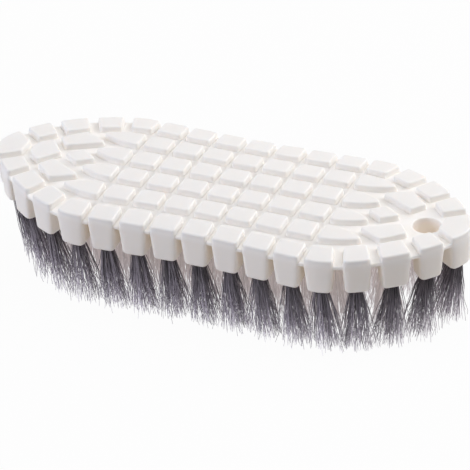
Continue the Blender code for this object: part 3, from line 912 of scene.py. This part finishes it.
def build_filament_material(name, shades, variation, glow):
    """Hairs coloured from root over belly to tip, dark roots being painted shade, with a painted glow, each a
    little lighter or darker than the next.
    """
    material = bpy.data.materials.new(name)
    material.use_nodes = True
    m = TreeMaker(material.node_tree)
    place = m.node("ShaderNodeTexCoord").outputs["Object"]
    up = m.node("ShaderNodeSeparateXYZ", {0: place}).outputs["Z"]
    height = m.node("ShaderNodeMapRange", {"Value": up, "From Min": 0, "From Max": PEG_BOTTOM})
    ramp = m.node("ShaderNodeValToRGB", {"Fac": height.outputs["Result"]})
    stops = ramp.color_ramp.elements
    stops[1].color, belly, stops[0].color = shades
    stops.new(BELLY_SHARE).color = belly
    low, high = variation
    own = m.node("ShaderNodeAttribute", attribute_name="filament_shade").outputs["Fac"]
    vary = m.node("ShaderNodeMapRange", {"Value": own, "To Min": low, "To Max": high})
    tinted = {0: ramp.outputs["Color"], "Scale": vary.outputs["Result"]}
    tint = m.node("ShaderNodeVectorMath", tinted, operation="SCALE").outputs[0]
    m.fill(
        m.tree.nodes["Principled BSDF"],
        {
            "Base Color": tint,
            "Metallic": 0,
            "Roughness": FILAMENT_ROUGHNESS,
            # The emission is the painted glow.
            "Emission Color": tint,
            "Emission Strength": glow,
        },
    )
    return material


def build_tuft_tree():
    """Turns each point into a bundle of crimped filaments that hang from it."""
    tree = bpy.data.node_groups.new("tuft", "GeometryNodeTree")
    sockets = tree.interface
    sockets.new_socket("Roots", in_out="INPUT", socket_type="NodeSocketGeometry")
    for name in ("Filaments", "Seed"):
        sockets.new_socket(name, in_out="INPUT", socket_type="NodeSocketInt")
    for name in (
        "Root Radius",
        "Tip Radius",
        "Ragged",
        "Crimp",
        "Thickness",
        "Set In",
        "Squash",
        "Lean",
        "Lean Start",
        "Drift",
    ):
        sockets.new_socket(name, in_out="INPUT", socket_type="NodeSocketFloat")
    sockets.new_socket("Material", in_out="INPUT", socket_type="NodeSocketMaterial")
    sockets.new_socket("Tufts", in_out="OUTPUT", socket_type="NodeSocketGeometry")
    m = TreeMaker(tree)
    given = m.node("NodeGroupInput").outputs

    def store(geometry, name, value, kind):
        values = {"Geometry": geometry, "Name": name, "Value": value}
        node = m.node("GeometryNodeStoreNamedAttribute", values, data_type=kind, domain="POINT")
        return node.outputs[0]

    def stored(name):
        return m.node("GeometryNodeInputNamedAttribute", {"Name": name}, data_type="INT").outputs[0]

    points = m.node("GeometryNodeMeshToPoints", {"Mesh": given["Roots"]})
    many = {"Geometry": points.outputs[0], "Amount": given["Filaments"]}
    copies = m.node("GeometryNodeDuplicateElements", many, domain="POINT")
    line = m.node("GeometryNodeCurvePrimitiveLine", {"Start": (0, 0, 0), "End": (0, 0, -1)})
    line_points = m.node("GeometryNodeResampleCurve", {"Curve": line.outputs[0], "Count": FILAMENT_POINTS})
    numbered = store(copies.outputs[0], "filament", m.node("GeometryNodeInputIndex").outputs[0], "INT")
    ordered = store(numbered, "order", copies.outputs[1], "INT")
    hung = {"Points": ordered, "Instance": line_points.outputs[0]}
    instances = m.node("GeometryNodeInstanceOnPoints", hung)
    loose = m.node("GeometryNodeRealizeInstances", {"Geometry": instances.outputs[0]})

    number = stored("filament")
    order = stored("order")
    along = m.node("GeometryNodeSplineParameter").outputs["Factor"]

    def chance(draw, limits=(0, 1)):
        """A random value between two limits, one for each filament at each draw."""
        seed = m.math("ADD", given["Seed"], draw)
        values = {"Min": limits[0], "Max": limits[1], "ID": number, "Seed": seed}
        return m.node("FunctionNodeRandomValue", values, data_type="FLOAT").outputs["Value"]

    # Every filament starts at its own place in the bundle and spreads from there on its own heading.
    out = m.math("SQRT", m.math("DIVIDE", m.math("ADD", order, 0.5), given["Filaments"]))
    heading = m.math("ADD", m.math("MULTIPLY", order, GOLDEN_TURN), chance(0, HEADINGS))
    spread = m.math("MULTIPLY", m.math("MULTIPLY", out, given["Tip Radius"]), chance(1, REACHES))
    root = m.math("MULTIPLY", out, given["Root Radius"])
    ease = m.math("POWER", along, chance(2, EASES))
    radius = m.math("ADD", root, m.math("MULTIPLY", m.math("SUBTRACT", spread, root), ease))
    aside = m.math("ADD", heading, m.math("MULTIPLY", chance(3, SWIRLS), along))
    x = m.math("MULTIPLY", radius, m.math("COSINE", aside))
    y = m.math("MULTIPLY", radius, m.math("SINE", aside))

    # The crimp swings it from side to side, more towards the tip.
    swing = m.math("MULTIPLY", m.math("MULTIPLY", given["Crimp"], along), chance(4, SWINGS))
    phase = chance(5, PHASES)
    beat = m.math("ADD", phase, m.math("MULTIPLY", along, chance(6, BEATS)))
    x = m.math("ADD", x, m.math("MULTIPLY", swing, m.math("SINE", beat)))
    y = m.math("ADD", y, m.math("MULTIPLY", swing, m.math("COSINE", m.math("MULTIPLY", beat, CROSS_BEAT))))

    # It hangs down to the tips' plane, some a little short of it, and leans in near the brush's ends.
    start = m.node("ShaderNodeSeparateXYZ", {0: m.node("GeometryNodeInputPosition").outputs[0]}).outputs
    length = m.math("ADD", start["Z"], along)
    ragged = m.math("MULTIPLY", given["Ragged"], m.math("POWER", chance(7), RAGGED_POWER))
    depth = m.math("ADD", m.math("SUBTRACT", length, ragged), given["Set In"])
    z = m.math("SUBTRACT", given["Set In"], m.math("MULTIPLY", depth, along))
    side = m.math("SIGN", start["X"])
    beyond = m.math("MAXIMUM", m.math("SUBTRACT", m.math("ABSOLUTE", start["X"]), given["Lean Start"]), 0)
    inwards = m.math("MULTIPLY", m.math("MULTIPLY", beyond, given["Lean"]), side)
    x = m.math("ADD", x, m.math("MULTIPLY", m.math("SUBTRACT", given["Drift"], inwards), along))
    y = m.math("MULTIPLY", y, given["Squash"])
    hang = m.node("ShaderNodeCombineXYZ", {"X": x, "Y": y, "Z": m.math("ADD", z, along)})
    moved = m.node("GeometryNodeSetPosition", {"Geometry": loose.outputs[0], "Offset": hang.outputs[0]})

    thinning = m.math("SUBTRACT", 1, m.math("MULTIPLY", along, TIP_THINNING))
    shaded = store(moved.outputs[0], "filament_shade", chance(8), "FLOAT")
    section = {"Resolution": FILAMENT_SIDES, "Radius": 1.0}
    profile = m.node("GeometryNodeCurvePrimitiveCircle", section, mode="RADIUS")
    swept = {
        "Curve": shaded,
        "Profile Curve": profile.outputs[0],
        "Scale": m.math("MULTIPLY", given["Thickness"], thinning),
        "Fill Caps": True,
    }
    hairs = m.node("GeometryNodeCurveToMesh", swept).outputs[0]
    for name in ("order", "filament"):
        hairs = m.node("GeometryNodeRemoveAttribute", {"Geometry": hairs, "Name": name}).outputs[0]
    for kind, values in (
        ("GeometryNodeSetShadeSmooth", {}),
        ("GeometryNodeRealizeInstances", {}),
        ("GeometryNodeSetMaterial", {"Material": given["Material"]}),
    ):
        hairs = m.node(kind, {"Geometry": hairs, **values}).outputs[0]
    m.node("NodeGroupOutput", {"Tufts": hairs})
    return tree


def build_tufts(name, pads, filaments, ragged, look, seed):
    """One mesh with the tufts of these pads."""
    roots = bmesh.new()
    for pad in pads:
        x, y = pad["tuft"]
        drop, slope = pad_tilt(pad)
        roots.verts.new((x, y, PEG_BOTTOM - drop - slope * y))
    tufts = new_object(name, roots)
    grow = tufts.modifiers.new("grow", "NODES")
    grow.node_group = tuft_tree
    values = {
        "Filaments": filaments,
        "Seed": seed,
        "Root Radius": ROOT_RADIUS,
        "Tip Radius": TIP_RADIUS,
        "Ragged": ragged,
        "Crimp": CRIMP,
        "Thickness": THICKNESS,
        "Set In": SET_IN,
        "Squash": SQUASH,
        "Lean": LEAN,
        "Lean Start": LEAN_STARTS["left" if pads[0]["tuft"][0] < 0 else "right"],
        "Drift": DRIFT,
        "Material": look,
    }
    for item in tuft_tree.interface.items_tree:
        if item.name in values:
            grow[item.identifier] = values[item.name]
    settle(tufts)
    return tufts


tuft_tree = build_tuft_tree()
grey = build_filament_material("grey_filament", GREY_RAMP_WITH_PAINTED_ROOT_SHADE, GREY_VARIATION, GREY_PAINTED_GLOW)
pale = build_filament_material("pale_filament", PALE_SHADES, PALE_VARIATION, PALE_PAINTED_GLOW)
for count, (body, (border, inner)) in enumerate(layout.items()):
    number = body.removeprefix("column_")
    border_filaments, ragged = TUFT_MAKEUP.get(body, TUFT_MAKEUP["column"])
    if body.startswith("column"):
        names = [f"tuft_back_{number}", f"tuft_front_{number}"]
    else:
        names = [f"tuft_{body}_{k}" for k in range(1, len(border) + 1)]
    for kind, pads, filaments, look, first_seed, nodes in (
        ("border", border, border_filaments, grey, BORDER_SEED, names),
        ("inner", inner, FILAMENTS_INNER, pale, INNER_SEED, [f"inner_tufts_{number}"]),
    ):
        seed = first_seed + SEED_STEP * count
        tufts = build_tufts(f"{kind}_filaments_{body}", pads, filaments, ragged, look, seed)
        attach(tufts, body)
        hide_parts(*nodes)
